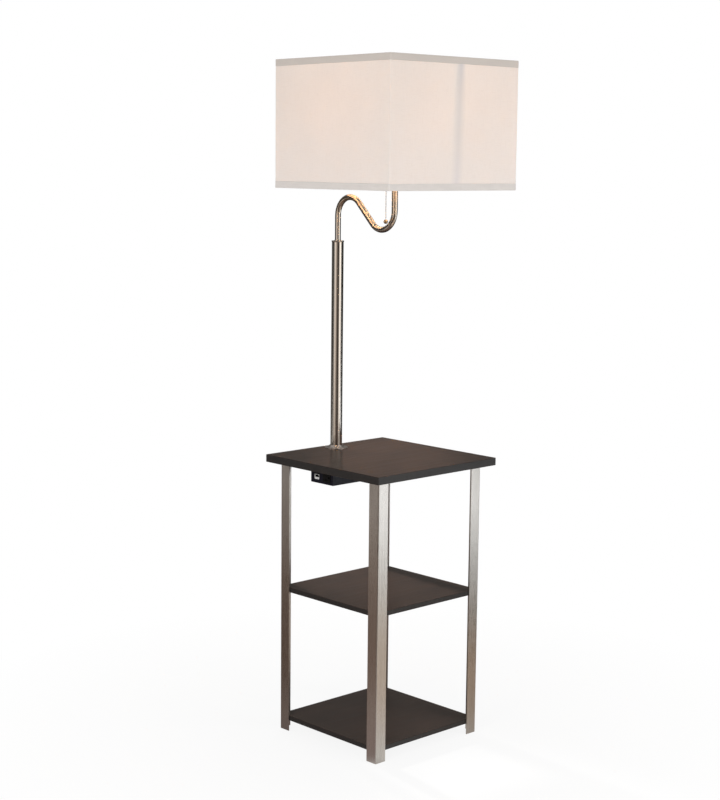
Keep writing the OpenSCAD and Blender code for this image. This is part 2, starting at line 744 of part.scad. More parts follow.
// The first bead hangs over the bell's lip and holds the tubular chain coupling
module chain_hanger() {
    color(zinc) at_head() translate([-chain_reach, 0, bell_z]) union() {
        sphere(r = hanger_r);
        translate([0, 0, -hanger_r - hanger_tube]) cylinder(r = 1.5, h = hanger_tube);
        translate([0, 0, -hanger_r - 1]) cylinder(r = 0.6, h = 2);
    }
}
module pull_chain() {
    length = chain_top - ball_h - ball_r;
    count = floor(length / bead_pitch);
    color(zinc) at_head() translate([-chain_reach, 0, 0]) union() {
        translate([0, 0, chain_top - length + fit]) cylinder(r = 0.45, h = length - fit);
        for (i = [0:count - 1]) translate([0, 0, chain_top - i * bead_pitch]) sphere(r = bead_r, $fn = 24);
    }
}
module chain_ball() {
    color(brass) at_head() translate([-chain_reach, 0, ball_h]) difference() {
        sphere(r = ball_r);
        translate([0, 0, ball_r - 0.4]) cylinder(r = 1.2, h = 2);
    }
}
// The screwed base: rounded threads drawn as rings, and the contact at its foot
module bulb_base() {
    pitch = 3.6;
    rings = 5;
    color(zinc) at_head() translate([0, 0, base_low]) rotate_extrude() polygon(concat(
        [[0, -1], [4, -1], [4.5, 0], [8, 0.6], [base_r - 1, 2.4]],
        [for (i = [0:rings * 4]) [base_r - 0.45 + 0.45 * cos(i * 90), 2.6 + i * pitch / 4]],
        [[base_r, base_high - base_low - 1], [base_r, base_high - base_low], [0, base_high - base_low]]
    ));
}
// A pear-shaped bulb: a sphere whose lower part sweeps into the neck
module bulb_glass() {
    neck_r = base_r - 0.4;
    join = 40;
    join_r = bulb_r * cos(join);
    join_z = bulb_rise - bulb_r * sin(join);
    color([0.98, 0.95, 0.88]) at_head() translate([0, 0, base_high]) rotate_extrude() polygon(concat(
        [[0, 0], [neck_r, 0]],
        [for (t = [0.12:0.11:0.9]) [neck_r + (join_r - neck_r) * (3 * t * t - 2 * t * t * t), t * join_z]],
        [for (a = [-join:10:80]) [bulb_r * cos(a), bulb_rise + bulb_r * sin(a)]],
        [[0, bulb_rise + bulb_r]]
    ));
}

// ---- Shade ----
module wire_square(half, corner, r) {
    flat = half - corner;
    for (turn = [0:90:270]) rotate([0, 0, turn]) {
        translate([half, -flat, 0]) rotate([-90, 0, 0]) cylinder(r = r, h = 2 * flat);
        translate([flat, flat, 0]) rotate_extrude(angle = 90) translate([corner, 0]) circle(r = r);
    }
}
module spider_arm(r) {
    rod([washer_r - 2, 0, spider_z + 0.8], [ring_half, 0, shade_top - trim_t - ring_r - fit], r);
}
// The upper ring, its four arms to the washer, and the washer that sits on the harp
module shade_spider() {
    color(steel) at_head() difference() {
        union() {
            translate([0, 0, shade_top - trim_t - ring_r - fit]) wire_square(ring_half, ring_corner, ring_r);
            for (turn = [0:90:270]) rotate([0, 0, turn]) spider_arm(spider_wire_d / 2);
            translate([0, 0, spider_z]) cylinder(r = washer_r, h = 1.6);
        }
        translate([0, 0, spider_z - 4]) cylinder(r = stud_r + 0.2, h = 12);
        translate([0, 0, spider_z - 4]) cylinder(r = washer_r - 2, h = 4);
        translate([0, 0, spider_z + 1.6]) cylinder(r = washer_r - 2, h = 4);
    }
}
module shade_bottom_ring() {
    color(steel) at_head() translate([0, 0, shade_base + trim_t + ring_r + fit])
        wire_square(ring_half, ring_corner, ring_r);
}
module square_tube(outer, inner, z, h) {
    translate([0, 0, z]) difference() {
        translate([-outer, -outer, 0]) cube([2 * outer, 2 * outer, h]);
        translate([-inner, -inner, -1]) cube([2 * inner, 2 * inner, h + 2]);
    }
}
// One stiffened strip folded round four corners and lapped near the middle of the front
module shade_wrap() {
    low = shade_base + trim_t;
    high = shade_top - trim_t;
    color(cloth) at_head() union() {
        square_tube(wrap_out, wrap_in, low, high - low);
        translate([lap_shift - lap_w / 2, -wrap_in, low + 8]) cube([lap_w, lap_t, high - low - 16]);
    }
}
module rounded_square(half, r) {
    square([2 * half, 2 * (half - r)], center = true);
    square([2 * (half - r), 2 * half], center = true);
    for (x = [-1, 1], y = [-1, 1]) translate([x * (half - r), y * (half - r)]) circle(r = r);
}
// A trim is folded over the edge: a band outside, the edge, and round the wire ring inside
module shade_trim(edge, dir) {
    inner = ring_half - ring_r - fit;
    inner_r = ring_corner - ring_r - fit;
    color(trim_cloth) at_head() translate([0, 0, edge]) mirror([0, 0, dir < 0 ? 1 : 0]) union() {
        square_tube(shade_half, wrap_out, 0, trim_h);
        linear_extrude(trim_t) difference() {
            square(2 * shade_half, center = true);
            rounded_square(inner - trim_t, inner_r - trim_t);
        }
        linear_extrude(trim_t + ring_wire_d * 0.9) difference() {
            rounded_square(inner, inner_r);
            rounded_square(inner - trim_t, inner_r - trim_t);
        }
    }
}
module shade_trim_top() {
    color(trim_cloth) difference() {
        shade_trim(shade_top, -1);
        at_head() for (turn = [0:90:270]) rotate([0, 0, turn]) spider_arm(spider_wire_d / 2 + fit);
    }
}
module shade_trim_bottom() { shade_trim(shade_base, 1); }

// ---- Power box ----
module box_screw_places() {
    for (x = [housing_x + 40, box_end - 12], y = [box_front + 10, box_rear - 10]) translate([x, y, 0]) children();
}
module grommet_places() {
    translate([lead_x, box_rear - box_wall, lead_z]) rotate([-90, 0, 0]) children(0);
    translate([box_end - box_wall, inlet_y, inlet_z]) rotate([0, 90, 0]) children(1);
}
module grommet_hole() { translate([0, 0, -1]) cylinder(r = grommet_r + fit, h = box_wall + 2); }
module box_housing() {
    color(black) difference() {
        union() {
            difference() {
                translate([housing_x, box_front, box_low]) cube([box_end - housing_x, box_w, plate_low - box_low]);
                translate([housing_x - 1, box_front + box_wall, box_low + box_wall])
                    cube([box_end - housing_x + 1 - box_wall, box_w - 2 * box_wall, box_h]);
            }
            for (x = [board_x + 6, box_end - box_wall - 8], y = [box_front + 9, box_rear - 9])
                translate([x, y, box_low + box_wall / 2])
                    cylinder(r = post_r, h = board_z - box_low - box_wall / 2);
        }
        grommet_places() { grommet_hole(); grommet_hole(); }
    }
}
module box_mount_plate() {
    color(black) difference() {
        translate([housing_x, box_front, plate_low]) cube([box_end - housing_x, box_w, plate_t]);
        box_screw_places() translate([0, 0, plate_low - 1]) cylinder(r = pilot_r, h = plate_t + 2);
    }
}
module face_cut(y, z, size, grow) {
    translate([face_x - proud - grow, y - size[0] / 2 - grow, z - size[1] / 2 - grow])
        cube([box_wall + proud + 2 * grow, size[0] + 2 * grow, size[1] + 2 * grow]);
}
module box_face() {
    color(black) difference() {
        translate([face_x, box_front, box_low]) cube([box_wall, box_w, box_h]);
        face_cut(outlet_y, device_z, outlet_size, 0.1);
        face_cut(usb_y, usb_z, usb_size, 0.1);
    }
}
// A mains outlet: two blade slots, one longer, and a round-topped earth hole
module power_outlet() {
    front = face_x - proud;
    color(black) difference() {
        union() {
            translate([front, outlet_y - outlet_size[0] / 2, device_z - outlet_size[1] / 2])
                cube([outlet_depth / 2, outlet_size[0], outlet_size[1]]);
            translate([face_x + box_wall + 0.1, outlet_y - outlet_size[0] / 2 - 1.5, device_z - outlet_size[1] / 2 + 1])
                cube([outlet_depth, outlet_size[0] + 3, outlet_size[1] - 2]);
        }
        for (s = [[1, 7.8], [-1, 6.6]])
            translate([front - 1, outlet_y - s[1] / 2 + 2.5, device_z + s[0] * 6.35 - 0.9]) cube([15, s[1], 1.8]);
        translate([front - 1, outlet_y - 7.5, device_z]) rotate([0, 90, 0]) cylinder(r = 2.4, h = 15);
    }
}
// A USB charging port: a white surround with its opening toward the outlet
module usb_port() {
    front = face_x - proud;
    color([0.92, 0.92, 0.9]) difference() {
        translate([front, usb_y - usb_size[0] / 2, usb_z - usb_size[1] / 2])
            cube([usb_depth, usb_size[0], usb_size[1]]);
        translate([front - 1, usb_slot_low[0], usb_slot_low[1]]) cube([usb_slot_depth + 1, usb_slot[0], usb_slot[1]]);
    }
}
// The socket in that opening: four thin walls, a back and the tongue between them
module usb_socket() {
    gap = 0.1;
    wall = 0.5;
    front = face_x - proud + 0.3;
    back = 1.5;
    size = [usb_slot_depth - 0.3 - gap, usb_slot[0] - 2 * gap, usb_slot[1] - 2 * gap];
    color(black) translate([front, usb_slot_low[0] + gap, usb_slot_low[1] + gap]) union() {
        difference() {
            cube(size);
            translate([-1, wall, wall]) cube([size[0] - back + 1, size[1] - 2 * wall, size[2] - 2 * wall]);
        }
        translate([2, wall + 0.8, size[2] / 2 - 0.1]) cube([size[0] - back - 1, size[1] - 2 * wall - 1.6, 1.5]);
    }
}
// The charger's board, with its transformer, a capacitor and the terminal block
module circuit_board() {
    color([0.1, 0.3, 0.18]) union() {
        translate([board_x, box_front + 5, board_z])
            cube([box_end - box_wall - 3 - board_x, box_w - 10, board_t]);
        translate([board_x + 6, box_front + 10, board_z + board_t / 2]) cube([20, 18, 15]);
        translate([board_x + 14, box_rear - 18, board_z + board_t / 2]) cylinder(r = 5, h = 14);
        translate([lead_x - 7, block_y - 8, board_z + board_t / 2])
            cube([14, 8, lead_z + lead_r - board_z]);
    }
}
module box_screws() {
    color(zinc) box_screw_places() translate([0, 0, plate_low]) wood_screw(screw_bite + plate_t);
}
module grommet(bore) {
    rotate_extrude() polygon([
        [bore, -1.2], [grommet_flange - 0.7, -1.2], [grommet_flange - 0.7, -fit], [grommet_r, -fit],
        [grommet_r, box_wall + fit], [grommet_flange, box_wall + fit], [grommet_flange - 0.6, box_wall + 2],
        [bore + 0.9, box_wall + 5], [bore, box_wall + 5]
    ]);
}
module box_grommets() {
    color(black) grommet_places() {
        grommet(lead_r + fit);
        grommet(inlet_d / 2);
    }
}
// The lamp lead runs from the box along the underside of the top, and up inside the pole
module lamp_lead() {
    turn_x = lead_x + lead_bend;
    color(black) union() {
        at_pole() translate([0, 0, lead_z + lead_turn_r])
            cylinder(r = lead_r, h = arm_low - 6 - lead_z - lead_turn_r);
        translate([-lead_turn_r, pole_y, lead_z + lead_turn_r]) rotate([90, 0, 0])
            rotate([0, 0, -90]) rotate_extrude(angle = 90) translate([lead_turn_r, 0]) circle(r = lead_r);
        rod([-lead_turn_r, pole_y, lead_z], [turn_x, pole_y, lead_z], lead_r);
        translate([turn_x, pole_y - lead_bend, lead_z]) rotate([0, 0, 90])
            rotate_extrude(angle = 90) translate([lead_bend, 0]) circle(r = lead_r);
        rod([lead_x, pole_y - lead_bend, lead_z], [lead_x, block_y + 0.1, lead_z], lead_r);
    }
}
// Self-adhesive clips that hold the lead under the table top
module lead_clip() {
    difference() {
        union() {
            translate([-clip_w, -clip_w / 2, top_under - 1.5]) cube([2 * clip_w, clip_w, 1.5]);
            translate([-lead_r - 1.2, -clip_w / 2, lead_z]) cube([2 * lead_r + 2.4, clip_w, top_under - 1 - lead_z]);
            translate([0, clip_w / 2, lead_z]) rotate([90, 0, 0]) cylinder(r = lead_r + 1.2, h = clip_w);
        }
        translate([0, clip_w, lead_z]) rotate([90, 0, 0]) cylinder(r = lead_r + fit, h = 2 * clip_w);
    }
}
module lead_clips() {
    color(black) {
        translate([lead_x, (pole_y + box_rear) / 2, 0]) lead_clip();
        translate([lead_x / 2, pole_y, 0]) rotate([0, 0, 90]) lead_clip();
    }
}

table_top();
middle_shelf();
bottom_shelf();
leg_front_left();
leg_front_right();
leg_rear_left();
leg_rear_right();
leg_top_plates();
shelf_brackets();
top_plate_screws();
shelf_screws();
escutcheon();
pole_tube();
pole_plug();
pole_nipple();
pole_washer();
lock_washer();
pole_nut();
pole_collar();
upper_bush();
lower_bush();
arm_tube();
arm_neck_ring();
arm_retainer();
arm_cable();
riser_stud();
harp_saddle();
harp();
harp_sleeve_front();
harp_sleeve_rear();
socket_cap();
socket_shell();
socket_liner();
socket_core();
screw_shell();
switch_bell();
pull_link();
chain_hanger();
pull_chain();
chain_ball();
bulb_base();
bulb_glass();
finial();
shade_spider();
shade_bottom_ring();
shade_wrap();
shade_trim_top();
shade_trim_bottom();
box_housing();
box_mount_plate();
box_face();
power_outlet();
usb_port();
usb_socket();
circuit_board();
box_screws();
box_grommets();
lamp_lead();
lead_clips();
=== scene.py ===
import json
import math

import bmesh
import bpy
from mathutils import Matrix, Vector, noise

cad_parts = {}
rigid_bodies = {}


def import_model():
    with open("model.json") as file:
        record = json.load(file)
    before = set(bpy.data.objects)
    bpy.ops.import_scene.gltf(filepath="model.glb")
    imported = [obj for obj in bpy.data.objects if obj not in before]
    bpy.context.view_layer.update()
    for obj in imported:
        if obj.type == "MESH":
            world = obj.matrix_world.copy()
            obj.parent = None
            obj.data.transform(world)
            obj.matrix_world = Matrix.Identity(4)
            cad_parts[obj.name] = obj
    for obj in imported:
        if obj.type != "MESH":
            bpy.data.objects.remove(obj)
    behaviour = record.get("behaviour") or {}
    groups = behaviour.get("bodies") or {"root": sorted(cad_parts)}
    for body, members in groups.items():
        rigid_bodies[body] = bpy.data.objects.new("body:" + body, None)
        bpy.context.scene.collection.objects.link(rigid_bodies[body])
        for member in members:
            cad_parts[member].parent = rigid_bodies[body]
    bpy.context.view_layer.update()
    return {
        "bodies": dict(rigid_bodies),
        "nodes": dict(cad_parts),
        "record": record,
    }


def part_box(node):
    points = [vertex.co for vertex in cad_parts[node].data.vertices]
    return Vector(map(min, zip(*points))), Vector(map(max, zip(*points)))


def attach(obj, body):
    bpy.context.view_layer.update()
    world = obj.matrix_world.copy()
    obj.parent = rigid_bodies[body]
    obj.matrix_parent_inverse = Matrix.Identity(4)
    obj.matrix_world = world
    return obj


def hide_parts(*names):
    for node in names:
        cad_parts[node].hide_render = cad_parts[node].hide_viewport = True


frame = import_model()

NODES = frame["nodes"]
SCENE = bpy.context.scene
MM = 0.001
WHITE, BLACK = (1.0, 1.0, 1.0), (0.0, 0.0, 0.0)

# ---- The lamp's own frame ----
# The shade and all that stands in it turn about the riser's axis. Metres, as in the CAD.
ARM_TURN = math.radians(-2.1)
POLE = Vector((0.0, 0.1545, 0.0))
HEAD = POLE + Matrix.Rotation(ARM_TURN, 3, "Z") @ Vector((0.0, -0.198, 0.0))
TO_HEAD = Matrix.Translation(HEAD) @ Matrix.Rotation(ARM_TURN, 4, "Z")
TABLE_Z = 0.666
BULB_Z = 1.4851
SHADE_LOW, SHADE_HIGH = 1.2865, 1.5735
SHADE_HALF = 0.1935
# The cloth hangs just inside the trims' outer faces, with its lap near the middle of the front
CLOTH_INSET, CLOTH_THICK = 0.45 * MM, 1.1 * MM
LAP_WIDE, LAP_THICK, LAP_X = 20 * MM, 0.5 * MM, 4 * MM
# The shade's middle, and where its front side begins, in the turned frame that the cloth's nodes read
TURNED_HEAD = Matrix.Rotation(-ARM_TURN, 3, "Z") @ HEAD
TURNED_FRONT = TURNED_HEAD.y - 0.18
# Phase of the weave per metre: about 830 waves
WEAVE = 5200.0

# ---- Camera ----
# Fitted to the edges of the table, pole and shade in the photograph. SIGHT is the azimuth of its look.
CAMERA_AT = Vector((-2.6662, -2.7490, 1.3482))
SIGHT, PITCH, ROLL = math.radians(46.622), math.radians(-8.181), math.radians(-0.572)
LENS, SENSOR = 74.733, 36.0

# ---- Studio ----
FLOOR_REACH = 30.0
WALL_RADIUS, WALL_HIGH, WALL_PANELS = 3.6, 4.0, 48
# How far out the floor's mirrored tones are laid
MIRROR_REACH = 3.5


def make_camera():
    """The photograph's camera: a level look along SIGHT, then pitch and roll."""
    level = math.cos(PITCH)
    ahead = Vector((math.cos(SIGHT) * level, math.sin(SIGHT) * level, math.sin(PITCH)))
    right = Vector((math.sin(SIGHT), -math.cos(SIGHT), 0.0))
    down = ahead.cross(right)
    rolled_right = math.cos(ROLL) * right + math.sin(ROLL) * down
    rolled_down = -math.sin(ROLL) * right + math.cos(ROLL) * down
    turn = Matrix((rolled_right, -rolled_down, -ahead)).transposed()
    cam = bpy.data.objects.new("Camera", bpy.data.cameras.new("Camera"))
    cam.matrix_world = Matrix.Translation(CAMERA_AT) @ turn.to_4x4()
    cam.data.sensor_width = SENSOR
    cam.data.lens = LENS
    cam.data.clip_start, cam.data.clip_end = 0.05, 60.0
    SCENE.collection.objects.link(cam)
    SCENE.camera = cam


# ---- Node helpers ----
class Shader:
    """A material or world tree under construction."""

    def __init__(self, block):
        block.use_nodes = True
        self.tree = block.node_tree
        self.tree.nodes.clear()
        kind = "World" if isinstance(block, bpy.types.World) else "Material"
        self.out = self.tree.nodes.new("ShaderNodeOutput" + kind)

    def add(self, kind, values=None, **props):
        node = self.tree.nodes.new("ShaderNode" + kind)
        for key, value in props.items():
            setattr(node, key, value)
        for key, value in (values or {}).items():
            self.put(node.inputs[key], value)
        return node

    def put(self, socket, value):
        if isinstance(value, bpy.types.NodeSocket):
            self.tree.links.new(value, socket)
        elif isinstance(value, tuple) and len(value) == 3 and socket.type == "RGBA":
            socket.default_value = (*value, 1.0)
        else:
            socket.default_value = value

    def math(self, operation, a, b=0.0):
        return self.add("Math", {0: a, 1: b}, operation=operation).outputs[0]

    def vector(self, operation, a, b):
        return self.add("VectorMath", {0: a, 1: b}, operation=operation).outputs[0]

    def coords(self, scale=(1.0, 1.0, 1.0), turn=0.0):
        source = self.add("TexCoord").outputs["Object"]
        values = {"Vector": source, "Scale": scale, "Rotation": (0.0, 0.0, turn)}
        return self.add("Mapping", values).outputs[0]

    def split(self, vector=None):
        """The x, y and z of a vector, or of the place."""
        return tuple(self.add("SeparateXYZ", {0: vector or self.coords()}).outputs)

    def normal(self):
        return self.add("NewGeometry").outputs["Normal"]

    def noise(self, scale, detail=3.0, rough=0.5, vector=None):
        """Noise of scale marks per metre along x, y and z, or along a vector given instead."""
        values = {"Vector": vector or self.coords(scale), "Scale": 1.0, "Detail": detail, "Roughness": rough}
        return self.add("TexNoise", values).outputs[0]

    def ramp(self, value, *stops):
        """Colours, or grey levels, at places from 0 to 1."""
        node = self.add("ValToRGB", {0: value})
        points = node.color_ramp.elements
        while len(points) < len(stops):
            points.new(0.5)
        for point, (place, colour) in zip(points, stops):
            point.position = place
            point.color = (*colour, 1.0) if isinstance(colour, tuple) else (colour, colour, colour, 1.0)
        return node.outputs[0]

    def span(self, value, low, high, to_low=0.0, to_high=1.0):
        return self.add("MapRange", {0: value, 1: low, 2: high, 3: to_low, 4: to_high}).outputs[0]

    def mix(self, factor, a, b, blend="MIX"):
        node = self.add("Mix", {"Factor": factor}, data_type="RGBA", blend_type=blend)
        self.put(node.inputs[6], a)
        self.put(node.inputs[7], b)
        return node.outputs[2]

    def times(self, a, b):
        return self.mix(1.0, a, b, "MULTIPLY")

    def bump(self, height, strength, distance):
        return self.add("Bump", {"Height": height, "Strength": strength, "Distance": distance}).outputs[0]

    def glow(self, colour):
        return self.add("Emission", {"Color": colour, "Strength": 1.0}).outputs[0]

    def between(self, factor, first, second):
        return self.add("MixShader", {0: factor, 1: first, 2: second}).outputs[0]

    def output(self, shader):
        self.tree.links.new(shader, self.out.inputs[0])

    def principled(self, values):
        self.output(self.add("BsdfPrincipled", values).outputs[0])


def material(name):
    made = bpy.data.materials.new(name)
    return made, Shader(made)


def shaded(colour, share):
    return tuple(channel * share for channel in colour)


# ---- Materials ----
def laminate():
    """Dark wood-grain laminate: long soft figure, short pores and a slight mottle."""
    made, s = material("board_laminate")
    dark, brown, light = (0.034, 0.0245, 0.0205), (0.046, 0.032, 0.0265), (0.060, 0.041, 0.033)
    reddish, pore = (0.062, 0.040, 0.031), (0.026, 0.020, 0.018)
    band_dark, band_light = (0.018, 0.0165, 0.016), (0.023, 0.020, 0.0188)
    warp = s.noise((3.0, 9.0, 9.0), 2.0)
    lines = s.coords((5.0, 95.0, 95.0))
    bend = s.add("CombineXYZ", {1: s.span(warp, 0, 1, -4.5, 4.5)}).outputs[0]
    figure = s.noise(None, 4.0, 0.62, s.vector("ADD", lines, bend))
    pores = s.noise((55.0, 1500.0, 1500.0), 2.0, 0.6)
    mottle = s.noise((16.0, 22.0, 22.0), 3.0, 0.6)
    tone = s.ramp(figure, (0.3, dark), (0.55, brown), (0.75, light))
    tone = s.mix(s.span(mottle, 0.35, 0.7, 0.0, 0.5), tone, reddish)
    tone = s.mix(s.span(pores, 0.56, 0.72, 0.0, 0.5), tone, pore)
    # The edges are banded in a darker, greyer tape
    upright = s.split(s.normal())[2]
    banded = s.span(s.math("ABSOLUTE", upright), 0.25, 0.75, 1.0, 0.0)
    tone = s.mix(banded, tone, s.mix(s.span(mottle, 0.3, 0.7), band_dark, band_light))
    height = s.math("ADD", s.math("MULTIPLY", pores, 0.5), figure)
    s.principled({
        "Base Color": tone, "Roughness": s.span(figure, 0.3, 0.7, 0.37, 0.45), "Specular IOR Level": 0.42,
        "Normal": s.bump(height, 0.22, 0.0003),
    })
    return made


def turned(name, colour, rough, painted_glow=None):
    """Tube polished round its girth, so that highlights stretch along it. A last colour, if given, is painted
    light: a warm cast of the lit shade on its upper part.
    """
    made, s = material(name)
    rings = s.noise((60.0, 60.0, 2600.0), 2.0, 0.6)
    cloud = s.noise((14.0, 14.0, 6.0), 2.0)
    normal = s.normal()
    girth = s.vector("CROSS_PRODUCT", (0.0, 0.0, 1.0), normal)
    along = s.vector("CROSS_PRODUCT", normal, girth)
    tone = s.mix(s.span(rings, 0.3, 0.7), shaded(colour, 0.97), colour)
    tone = s.mix(s.span(cloud, 0.45, 0.75, 0.0, 0.3), tone, shaded(colour, 0.86))
    if painted_glow:
        # Painted light: the upper part is tinted warm, standing in for the lit shade's glow above it
        height = s.split()[2]
        tone = s.mix(s.span(height, 1.17, 1.27, 0.0, 0.6), tone, painted_glow)
    ringed = s.span(rings, 0.25, 0.75, rough - 0.008, rough + 0.008)
    shine = s.math("ADD", ringed, s.span(cloud, 0.3, 0.7, -0.01, 0.01))
    s.principled({
        "Base Color": tone, "Metallic": 1.0, "Roughness": shine, "Anisotropic": 0.8, "Tangent": along,
    })
    return made


def brushed_legs():
    """Steel brushed along the legs, with fine hairs, soft bands and duller clouds."""
    made, s = material("leg_brushed")
    steel, dull = (0.66, 0.62, 0.575), (0.56, 0.52, 0.48)
    hair = s.noise((2600.0, 2600.0, 31.2), 2.0, 0.6)
    band = s.noise((320.0, 320.0, 6.4), 3.0, 0.55)
    cloud = s.noise((14.0, 14.0, 5.0), 2.0)
    tone = s.mix(s.span(band, 0.3, 0.7), shaded(steel, 0.88), steel)
    tone = s.mix(s.span(cloud, 0.45, 0.75, 0.0, 0.4), tone, dull)
    rough = s.math("ADD", s.span(hair, 0.25, 0.75, 0.22, 0.38), s.span(cloud, 0.3, 0.7, -0.02, 0.03))
    s.principled({
        "Base Color": tone, "Metallic": 1.0, "Roughness": rough, "Normal": s.bump(hair, 0.05, 0.00003),
    })
    return made


def usb_moulding():
    """White moulding of the USB port, with painted shade in black along its top and down its far side."""
    made, s = material("usb_moulding")
    # Painted shade: how far the black reaches in from the top and from the far side
    painted_shade_above, painted_shade_beside = 2.1 * MM, 2.4 * MM
    corner = Vector(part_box("usb_port")[1])
    _, y, z = s.split()
    above = s.math("GREATER_THAN", z, corner.z - painted_shade_above)
    beside = s.math("GREATER_THAN", y, corner.y - painted_shade_beside)
    marks = s.noise((160.0, 420.0, 160.0), 4.0, 0.7)
    white = s.mix(s.span(marks, 0.3, 0.75), (0.62, 0.62, 0.62), (0.56, 0.56, 0.555))
    s.principled({
        "Base Color": s.mix(s.math("MAXIMUM", above, beside), white, (0.006, 0.006, 0.007)),
        "Roughness": s.span(marks, 0.3, 0.75, 0.32, 0.44), "Specular IOR Level": 0.3,
        "Normal": s.bump(marks, 0.1, 0.00015),
    })
    return made


def worn(name, colour, rough, metallic=0.0, grain=900.0, bump=0.12, tint=None, coat=0.0, gloss=0.5):
    """Moulded plastic, plated or painted metal: fine grain, handling marks, slight colour drift."""
    made, s = material(name)
    fine = s.noise((grain, grain, grain), 2.0, 0.6)
    drift = s.noise((38.0, 38.0, 38.0), 3.0)
    marks = s.noise((160.0, 420.0, 160.0), 4.0, 0.7)
    tone = s.mix(s.span(drift, 0.3, 0.72), colour, tint or shaded(colour, 0.82))
    handled = s.span(marks, 0.3, 0.75, rough - 0.05, rough + 0.09)
    s.principled({
        "Base Color": tone, "Metallic": metallic, "Coat Weight": coat, "Specular IOR Level": gloss,
        "Roughness": s.math("ADD", handled, s.span(fine, 0.3, 0.7, -0.02, 0.02)),
        "Normal": s.bump(fine, bump, 0.00015),
    })
    return made


def weave(s):
    """Height of a plain weave with slubs, the slubs alone, and the place in the shade's turned frame."""
    place = s.split(s.coords(turn=-ARM_TURN))
    around = s.math("ADD", place[0], place[1])
    shift = s.span(s.noise((260.0, 260.0, 260.0), 2.0), 0.0, 1.0, -1.6, 1.6)
    weft = s.math("SINE", s.math("ADD", s.math("MULTIPLY", place[2], WEAVE), shift))
    warp = s.math("SINE", s.math("ADD", s.math("MULTIPLY", around, WEAVE), shift))
    level_slubs = s.span(s.noise((55.0, 55.0, 900.0), 3.0, 0.6), 0.5, 0.78)
    upright_slubs = s.span(s.noise((900.0, 900.0, 45.0), 3.0, 0.6), 0.5, 0.8)
    slubs = s.math("ADD", level_slubs, upright_slubs)
    height = s.math("ADD", s.math("MULTIPLY", weft, warp), s.math("MULTIPLY", slubs, 1.4))
    return height, slubs, place


def linen():
    """The shade's cloth, lit from the front by the room and from behind by the bulb."""
    made, s = material("shade_linen")
    height, slubs, (x, y, z) = weave(s)
    mottle = s.noise((9.0, 9.0, 7.0), 3.0, 0.55)
    cloth = s.mix(s.span(mottle, 0.3, 0.7), (0.90, 0.83, 0.775), (0.865, 0.80, 0.75))
    # Painted light: the cloth is painted paler and less warm from the bulb's height down to its bottom edge
    cloth = s.mix(s.span(z, SHADE_LOW, BULB_Z, 1.0, 0.0), cloth, (0.895, 0.845, 0.81))
    cloth = s.mix(s.math("MULTIPLY", slubs, 0.24), cloth, (0.70, 0.63, 0.58))
    # The lap on the front is two cloths thick and lets less of the bulb through; its shade is also painted
    # into the cloth as a greyer band, wider and a little further left low down
    front = s.math("LESS_THAN", y, TURNED_FRONT)
    drop = s.span(z, SHADE_LOW, SHADE_HIGH, 1.0, 0.0)
    seam_x = s.span(drop, 0.0, 1.0, 0.0145, 0.0050)
    from_middle = s.math("SUBTRACT", x, TURNED_HEAD.x)
    from_seam = s.math("ABSOLUTE", s.math("SUBTRACT", from_middle, seam_x))
    soft_edge = s.span(from_seam, 0.002, s.span(drop, 0.0, 0.3, 0.012, 0.019), 1.0, 0.0)
    strength = s.ramp(drop, (0.0, 0.85), (0.3, 0.50), (0.75, 0.42), (1.0, 0.34))
    lap = s.math("MULTIPLY", s.math("MULTIPLY", soft_edge, front), strength)
    # Painted shade: the colour of the lap's band, from the top of the shade down
    lap_painted_shade = s.ramp(
        drop,
        (0.0, (0.70, 0.665, 0.67)), (0.25, (0.74, 0.67, 0.635)), (0.7, (0.76, 0.69, 0.65)),
        (1.0, (0.74, 0.70, 0.73)),
    )
    cloth = s.mix(lap, cloth, lap_painted_shade)
    through = s.mix(lap, (0.86, 0.66, 0.40), (0.30, 0.26, 0.28))
    normal = s.bump(height, 0.28, 0.00025)
    front_lit = s.add("BsdfPrincipled", {
        "Base Color": cloth, "Roughness": 0.92, "Specular IOR Level": 0.12, "Sheen Weight": 0.12,
        "Sheen Roughness": 0.5, "Normal": normal,
    })
    back_lit = s.add("BsdfTranslucent", {"Color": through, "Normal": normal})
    s.output(s.between(0.14, front_lit.outputs[0], back_lit.outputs[0]))
    return made


def tape():
    """The folded trim: the same cloth, doubled, so that none of the bulb comes through."""
    made, s = material("trim_tape")
    bumps, slubs, _ = weave(s)
    drift = s.noise((24.0, 24.0, 60.0), 3.0)
    # Painted shade: the top trim is painted darker and warmer than the bottom one, for how the light falls on
    # each
    upper_painted_shade = s.math("GREATER_THAN", s.split()[2], (SHADE_LOW + SHADE_HIGH) / 2)
    cloth = s.mix(upper_painted_shade, (0.72, 0.68, 0.65), (0.60, 0.545, 0.50))
    cloth = s.mix(s.span(drift, 0.3, 0.7, 0.0, 0.1), cloth, (0.3, 0.3, 0.3))
    cloth = s.mix(s.math("MULTIPLY", slubs, 0.18), cloth, (0.55, 0.51, 0.48))
    s.principled({
        "Base Color": cloth, "Roughness": 0.94, "Specular IOR Level": 0.1, "Sheen Weight": 0.1,
        "Normal": s.bump(bumps, 0.35, 0.0003),
    })
    return made


def lit_glass():
    """Frosted glass of a lit bulb: whitest at the middle of its round part."""
    made, s = material("bulb_lit")
    height = s.split()[2]
    frost = s.noise((300.0, 300.0, 300.0), 2.0)
    rise = s.span(height, BULB_Z - 0.045, BULB_Z + 0.005)
    level = s.span(height, BULB_Z - 0.046, BULB_Z - 0.012, 1.1, 2.6)
    s.principled({
        "Base Color": (0.9, 0.87, 0.8), "Roughness": 0.45,
        "Emission Color": s.ramp(rise, (0.0, (1.0, 0.62, 0.34)), (1.0, (1.0, 0.84, 0.62))),
        "Emission Strength": s.math("MULTIPLY", level, s.span(frost, 0.3, 0.7, 0.94, 1.06)),
    })
    return made


